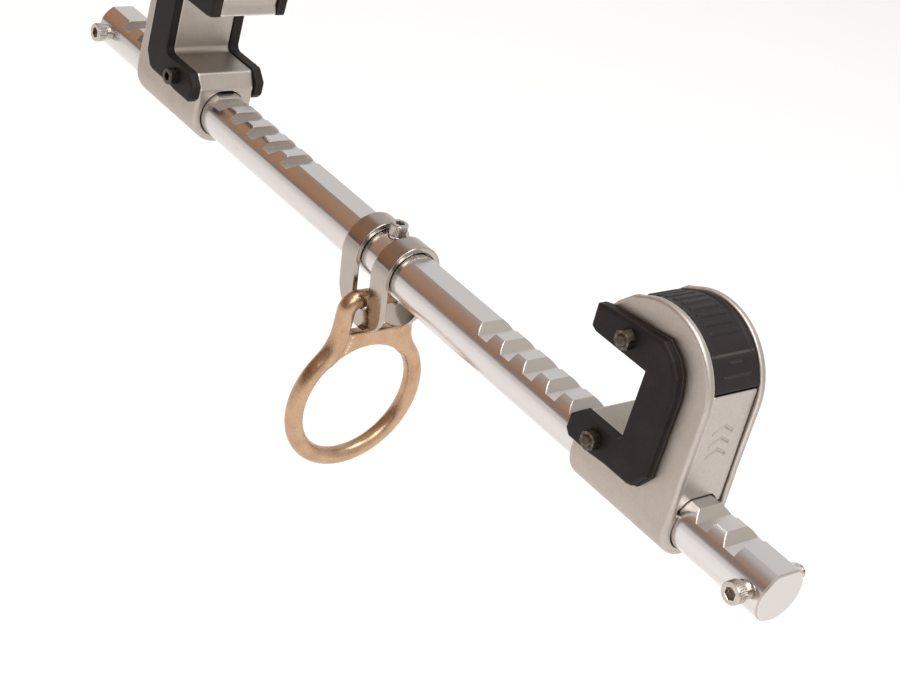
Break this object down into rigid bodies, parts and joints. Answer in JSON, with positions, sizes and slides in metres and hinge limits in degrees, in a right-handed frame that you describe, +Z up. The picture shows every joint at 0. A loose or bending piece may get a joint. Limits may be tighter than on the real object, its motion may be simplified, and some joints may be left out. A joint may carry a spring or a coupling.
{
  "type": "sliding beam anchor",
  "caption": "Notched round bar with two ratcheting C-shaped jaws that hook over a beam's flanges, and a swinging stirrup with a D-ring hanging from its middle.",
  "frame": {"origin": "middle of the plane in which the jaws' upper lips bear on the beam's flange", "axes": "+X along the bar towards the near jaw, +Y towards the wear plates' bolt heads on the near jaw, +Z up"},
  "size_m": [0.526, 0.0796, 0.2018],
  "materials": {
    "bar_aluminium": "satin drawn and milled, clear anodised",
    "cast_aluminium": "fine bead-blasted casting, clear coated",
    "wear_plate": "matt black moulded nylon",
    "cover_plastic": "matt black moulded plastic",
    "lever_aluminium": "satin",
    "bright_steel": "turned, zinc plated",
    "dark_steel": "black oxide",
    "stirrup_steel": "polished stainless strip",
    "ring_steel": "satin yellow-bronze plated forging",
    "spring_steel": "plain spring steel"
  },
  "bodies": {
    "bar": {"bar": "bar_aluminium", "centre_screw": "bright_steel", "centre_washer": "bright_steel", "end_screws": "bright_steel", "end_spacers": "bright_steel", "end_nuts": "bright_steel"},
    "near_jaw": {"near_jaw_body": "cast_aluminium", "near_nut_side_plate": "wear_plate", "near_head_side_plate": "wear_plate", "near_plate_bolts": "dark_steel", "near_plate_nuts": "dark_steel", "near_top_cover": "cover_plastic", "near_lever_pin": "spring_steel", "near_lever_spring": "spring_steel"},
    "near_lever": {"near_release_lever": "lever_aluminium", "near_latch_pawl": "spring_steel", "near_pawl_rivets": "bright_steel"},
    "far_jaw": {"far_jaw_body": "cast_aluminium", "far_nut_side_plate": "wear_plate", "far_head_side_plate": "wear_plate", "far_plate_bolts": "dark_steel", "far_plate_nuts": "dark_steel", "far_top_cover": "cover_plastic", "far_lever_pin": "spring_steel", "far_lever_spring": "spring_steel"},
    "far_lever": {"far_release_lever": "lever_aluminium", "far_latch_pawl": "spring_steel", "far_pawl_rivets": "bright_steel"},
    "stirrup": {"stirrup": "stirrup_steel"},
    "d_ring": {"d_ring": "ring_steel"}
  },
  "joints": [
    {"name": "near_jaw_slide", "type": "slide", "parent": "bar", "child": "near_jaw", "axis": [1, 0, 0], "range_m": [-0.127, 0.03175], "deforming": ["near_latch_pawl"]},
    {"name": "near_lever_press", "type": "hinge", "parent": "near_jaw", "child": "near_lever", "pos_m": [0.1885, 0, -0.0385], "axis": [0, -1, 0], "range_deg": [0, 11.5], "stiffness_Nm_per_rad": 0.4, "springref_deg": -5.73, "deforming": ["near_lever_spring"]},
    {"name": "far_jaw_slide", "type": "slide", "parent": "bar", "child": "far_jaw", "axis": [1, 0, 0], "range_m": [-0.03175, 0.127], "deforming": ["far_latch_pawl"]},
    {"name": "far_lever_press", "type": "hinge", "parent": "far_jaw", "child": "far_lever", "pos_m": [-0.1885, 0, -0.0385], "axis": [0, 1, 0], "range_deg": [0, 11.5], "stiffness_Nm_per_rad": 0.4, "springref_deg": -5.73, "deforming": ["far_lever_spring"]},
    {"name": "stirrup_swing", "type": "hinge", "parent": "bar", "child": "stirrup", "pos_m": [0, 0, -0.0565], "axis": [1, 0, 0], "range_deg": [-100, 100]},
    {"name": "d_ring_swing", "type": "hinge", "parent": "stirrup", "child": "d_ring", "pos_m": [0, 0, -0.0766], "axis": [0, -1, 0], "range_deg": [-85, 85]}
  ]
}
